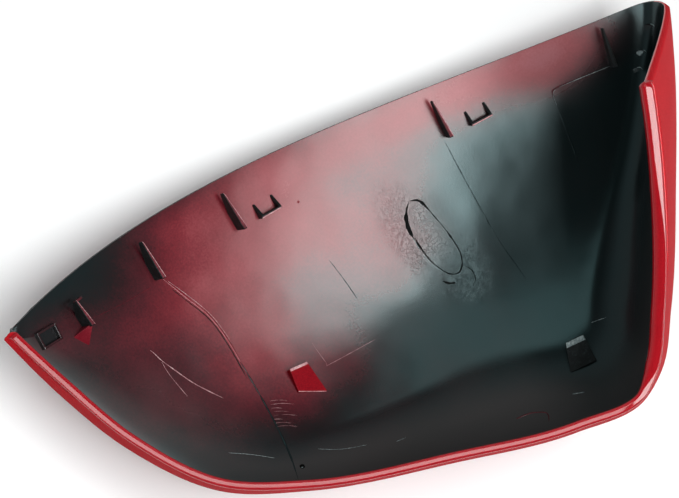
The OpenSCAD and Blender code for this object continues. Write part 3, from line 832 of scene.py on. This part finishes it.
def raised_line(name, places, width, height, material, extra=0.0, taper=0.15, uneven=0.3):
    """A low closed ridge that follows plan places over the wall, uneven in width, thin at both ends."""
    path = smooth_path(places)
    columns = []
    for i, p in enumerate(path):
        share = i / (len(path) - 1)
        thin = max(0.04, min(1.0, share / taper, (1 - share) / taper)) ** 0.6
        thin *= 1 + uneven * noise.noise(Vector((p.x * 0.45, p.y * 0.45, width * 7))) * 2
        way = (path[min(i + 1, len(path) - 1)] - path[max(i - 1, 0)]).normalized()
        column = []
        for across, rise in ((-0.5, -0.1), (-0.25, 0.8), (0, 1), (0.25, 0.8), (0.5, -0.1), (0, -0.6), (-0.5, -0.1)):
            x, y = p.x - way.y * width * thin * across, p.y + way.x * width * thin * across
            column.append(wall_at(x, y) + off_wall(x, y) * height * rise * thin)
        columns.append(column)
    bm, order = sheet(columns)
    layer = bm.verts.layers.float["mist"]
    for v in order:
        v[layer] = min(1.0, max(0.0, mist_at(v.co.x, v.co.y) + extra))
    bmesh.ops.remove_doubles(bm, verts=bm.verts, dist=0.002)
    for face in bm.faces:
        face.smooth = True
    add_piece(name, bm, [material])


# Name, plan places, width, height, material and how much more or less spray than the wall round it.
LINES = [
    ("crease_upper", [(53.5, -6.6), (57.5, -15.9), (61.5, -25.4), (63.2, -35.6), (63.7, -44.3)], 0.7, 0.15, BARE, 0.20),
    # A painted highlight along the crease's top.
    ("crease_light", [(54.4, -7.6), (58.3, -15.6), (62.2, -25.2), (63.9, -35.4)], 0.24, 0.17, SCRATCH_AND_HIGHLIGHT, 0),
    ("crease_lower", [(63.6, -43), (64.5, -57), (64.8, -69.7), (64.5, -80), (63.6, -87.6)], 0.6, 0.12, BARE, -0.25),
    # A painted shadow beside the crease.
    ("crease_shadow", [(54.3, -10.6), (57.0, -16.6), (60.9, -25.9), (62.5, -35.8), (63.2, -50)], 0.35, 0.03, GOUGE_AND_SHADOW, 0),
    ("scratch_long", [(38.9, -25.9), (39.8, -28), (40.7, -30.8), (42.9, -35.4), (47, -43.3), (53.1, -52)],
     0.30, 0.05, SCRATCH_AND_HIGHLIGHT, 0),
    ("scratch_branch", [(40.6, -31.5), (41, -36.7), (43, -46.1)], 0.16, 0.04, SCRATCH_AND_HIGHLIGHT, 0),
    ("scratch_low_1", [(46.5, -69), (53, -73.2), (59.6, -78.1)], 0.13, 0.03, SCUFF_AND_GLINT, 0),
    ("scratch_low_2", [(73.5, -82.2), (81, -86.2), (89.6, -89)], 0.13, 0.03, SCUFF_AND_GLINT, 0),
    ("scratch_low_3", [(98.4, -92.5), (102.8, -93)], 0.13, 0.03, SCUFF_AND_GLINT, 0),
    ("line_at_tip", [(27.6, -7.8), (38, -7.9), (49.1, -7.3)], 0.30, 0.06, BARE, 0.1),
    ("lifter_line", [(88.2, -49.6), (89.5, -57.9), (90.6, -58.9), (108.5, -58.7)], 0.13, 0.04, SCRATCH_AND_HIGHLIGHT, 0),
    ("line_of_pin", [(106.6, -26.8), (108.1, -35.2), (109.2, -43.8)], 0.30, 0.05, BARE, -0.3),
    ("witness_line", [(161.9, -7.6), (162.2, -27), (163, -48), (165.3, -65)], 0.40, 0.10, BARE, -0.2),
    ("insert_line", [(227.1, -11.3), (216, -10.2), (206.1, -9.5), (203.6, -10.9), (202.9, -18.3), (200.6, -38.2)],
     0.50, 0.10, BARE, 0),
    # The insert line's two glint lines are painted glints.
    ("insert_glint", [(226.4, -11.4), (216, -10.4), (206.6, -9.7)], 0.22, 0.14, SCUFF_AND_GLINT, 0),
    ("insert_glint_low", [(205.4, -9.9), (203.7, -11.2), (203.1, -16.5)], 0.18, 0.12, SCUFF_AND_GLINT, 0),
    ("dash_low", [(159.9, -106.2), (164.2, -107.6)], 0.35, 0.06, SCUFF_AND_GLINT, 0),
    ("arc_low", [(138.7, -104.5), (144.5, -105.3), (149, -107.6), (148, -110.2)], 0.45, 0.10, BARE, 0.25),
    ("nick_right", [(177.7, -88.3), (183.9, -89.1)], 0.22, 0.04, SCUFF_AND_GLINT, 0),
    ("nick_dot", [(65.8, -84.2), (67.4, -85.4)], 1.3, 0.16, GOUGE_AND_SHADOW, 0),
    # A painted glint on the nick.
    ("nick_glint", [(66.0, -84.9), (66.9, -85.4)], 0.4, 0.26, SCUFF_AND_GLINT, 0),
]
for name, places, width, height, material, extra in LINES:
    raised_line(name, places, width, height, material, extra)
# Brushed streaks beside the red catch, of different lengths.
for number in range(8):
    x, y, run = 66.6 - 0.4 * number, -60.4 - 1.2 * number, 5.5 + 2.5 * math.sin(number * 2.1)
    raised_line(f"brushed_streak_{number + 1}", [(x, y), (x + run * 0.5, y - run * 0.2), (x + run, y - run * 0.52)],
                0.11, 0.03, SCRATCH_AND_HIGHLIGHT, taper=0.4, uneven=0.8)

OVAL_RING = [
    (141, -21.2), (138.6, -24.2), (137.2, -28.5), (136.9, -33), (137.2, -38.2), (138.1, -43), (139.8, -47.2),
    (142.1, -50.6), (145.2, -51.6), (147.6, -49.4), (148.8, -45.6), (148.7, -41.8), (147.9, -36.0), (146.6, -30.4),
    (145.4, -25.8), (143.6, -22.4), (141, -21.2)]
# Name, plan places, width, height, material, how much of the length tapers and how ragged it is.
for name, places, width, height, material, taper, uneven in (
        ("scar", OVAL_RING, 0.42, 0.12, GOUGE_AND_SHADOW, 0.03, 0.6),
        ("gouge_left", [(139.4, -22.6), (138.0, -24.6), (136.6, -28.5), (136.4, -33), (137.2, -39.5)],
         0.95, 0.16, GOUGE_AND_SHADOW, 0.3, 1.1),
        ("gouge_right", [(142.8, -21.6), (144.4, -23.0), (145.9, -26.6)], 1.0, 0.16, GOUGE_AND_SHADOW, 0.4, 1.1),
        ("burr", [(x - 0.6, y - 0.2) for x, y in OVAL_RING[1:7]], 0.28, 0.10, SCUFF_AND_GLINT, 0.2, 1.0),
        ("second_arc", [(147.9, -50.2), (149.6, -53.0), (149.3, -56.2), (147.2, -58.0)], 0.30, 0.10, GOUGE_AND_SHADOW, 0.3, 0.3),
        ("smudge", [(138.6, -51.6), (140.2, -53.3), (142.4, -54.2)], 1.0, 0.06, GOUGE_AND_SHADOW, 0.5, 1.1)):
    raised_line(f"oval_{name}", places, width, height, material, taper=taper, uneven=uneven)

# Painted glints: short pale arcs on the ejector pin marks at the deep end.
GLINT_REACH = 1.3                   # how far a glint stands from the middle of its pin mark
for number, (x, y) in enumerate(((244.8, -6.0), (238.5, -12.9), (234.6, -17.6)), 1):
    turns = [math.radians(d) for d in (-70, -35, 0, 35, 70)]
    arc = [(x + GLINT_REACH * (SIN * math.cos(a) + COS * math.sin(a)),
            y + GLINT_REACH * (COS * math.cos(a) - SIN * math.sin(a))) for a in turns]
    raised_line(f"pin_glint_{number}", arc, 0.35, 0.12, SCUFF_AND_GLINT, taper=0.4)


def ejector_mark(x, y, reach):
    """A round, slightly proud witness of an ejector pin, its rim catching the light."""
    bm = bmesh.new()
    bmesh.ops.create_cone(bm, cap_ends=True, segments=32, radius1=reach, radius2=reach - 0.1, depth=0.5)
    top = max(bm.faces, key=lambda f: f.calc_center_median().z)
    bmesh.ops.inset_region(bm, faces=[top], thickness=0.35, depth=-0.12)
    soften(bm, 0.04, 1)
    here, off = wall_at(x, y), off_wall(x, y)
    bmesh.ops.transform(bm, matrix=stand(here - off * 0.12, Vector((0, 1, 0)), off), verts=bm.verts)
    return bm


PIN_MARKS = [(244.0, -6.2, 2.2), (237.6, -12.9, 2.2), (233.6, -17.6, 1.8), (106.4, -3.9, 0.5)]
for number, (x, y, reach) in enumerate(PIN_MARKS, 1):
    add_piece(f"ejector_mark_{number}", ejector_mark(x, y, reach), [BARE], extra=0.05)

# Floor, world, lights and camera

floor_mesh = bpy.data.meshes.new("floor")
floor_bm = bmesh.new()
bmesh.ops.create_grid(floor_bm, x_segments=1, y_segments=1, size=3.0)
floor_bm.to_mesh(floor_mesh)
floor_bm.free()
floor = bpy.data.objects.new("studio_floor", floor_mesh)
bpy.context.scene.collection.objects.link(floor)


BOARD_CLOUDS = 3.0                  # per metre


def white_floor():
    """Matt white studio board. Only the light that it throws back is held down, so that it stays white to the eye."""
    mat, tree, where = new_material("white_studio_board")
    clouds = add_node(tree, "ShaderNodeTexNoise", {"Vector": where}, Scale=BOARD_CLOUDS, Detail=2.0)
    tone = add_node(tree, "ShaderNodeValToRGB", {"Fac": clouds}, [(0.3, grey(0.95)), (0.7, grey(0.97))])
    ray = add_node(tree, "ShaderNodeLightPath").outputs
    seen = sum_of(tree, ray["Is Camera Ray"], ray["Is Glossy Ray"], ray["Is Transmission Ray"])
    board = add_node(tree, "ShaderNodeMix", {0: seen, 7: tone}, data_type="RGBA", in_6=grey(0.45)).outputs[2]
    matt = add_node(tree, "ShaderNodeBsdfDiffuse", {"Color": board})
    add_node(tree, "ShaderNodeOutputMaterial", {"Surface": matt})
    return mat


floor_mesh.materials.append(white_floor())

world = bpy.data.worlds.new("studio")
bpy.context.scene.world = world
world.use_nodes = True
world.node_tree.nodes.clear()
# A pale room with a dark ceiling: light comes in low from all round.
from_way = add_node(world.node_tree, "ShaderNodeTexCoord").outputs["Generated"]
rise = add_node(world.node_tree, "ShaderNodeSeparateXYZ", {"Vector": from_way}).outputs["Z"]
room = add_node(world.node_tree, "ShaderNodeValToRGB", {"Fac": rise}, [
    (0.0, (0.36, 0.38, 0.38, 1)), (0.45, (0.32, 0.36, 0.37, 1)), (0.80, (0.05, 0.06, 0.06, 1))])
sky = add_node(world.node_tree, "ShaderNodeBackground", {"Color": room}, Strength=1.0)
add_node(world.node_tree, "ShaderNodeOutputWorld", {"Surface": sky})


def soft_light(name, right, up, distance, size, power, colour=(1, 1, 1)):
    """A soft box that faces the middle of the cover, leaning to the picture's right and top, in degrees."""
    a, b = math.tan(math.radians(right)), math.tan(math.radians(up))
    way = rest_way((COS * a + SIN * b, COS * b - SIN * a, 1))
    along = rest_way((COS, -SIN, 0))
    along = (along - way * along.dot(way)).normalized()
    lamp = bpy.data.lights.new(name, "AREA")
    lamp.shape, lamp.size, lamp.size_y = "RECTANGLE", size[0], size[1]
    lamp.energy, lamp.color = power, colour
    obj = bpy.data.objects.new(name, lamp)
    turned = Matrix((along, way.cross(along), way)).transposed().to_4x4()
    obj.matrix_world = Matrix.Translation(REST @ Vector((*LOOK_AT, 40)) + way * distance) @ turned
    bpy.context.scene.collection.objects.link(obj)


soft_light("softbox_right", 28.5, 1, 2.4, (0.82, 1.86), 52.0)
soft_light("softbox_top", 5, 33, 1.3, (0.70, 0.38), 1.2, (0.72, 1.0, 1.0))
soft_light("softbox_low", -6, -19.5, 1.2, (1.0, 0.24), 4.2)

camera_data = bpy.data.cameras.new("camera")
camera_data.sensor_width = 36.0
camera_data.lens = FOCAL / FRAME_WIDTH * camera_data.sensor_width
camera = bpy.data.objects.new("camera", camera_data)
bpy.context.scene.collection.objects.link(camera)
turn = TURN.to_3x3() @ Matrix(((COS, SIN, 0), (-SIN, COS, 0), (0, 0, 1)))
camera.matrix_world = Matrix.Translation(REST @ Vector((*LOOK_AT, FAR + DEPTH))) @ turn.to_4x4()
bpy.context.scene.camera = camera
bpy.context.scene.view_settings.view_transform = "Standard"
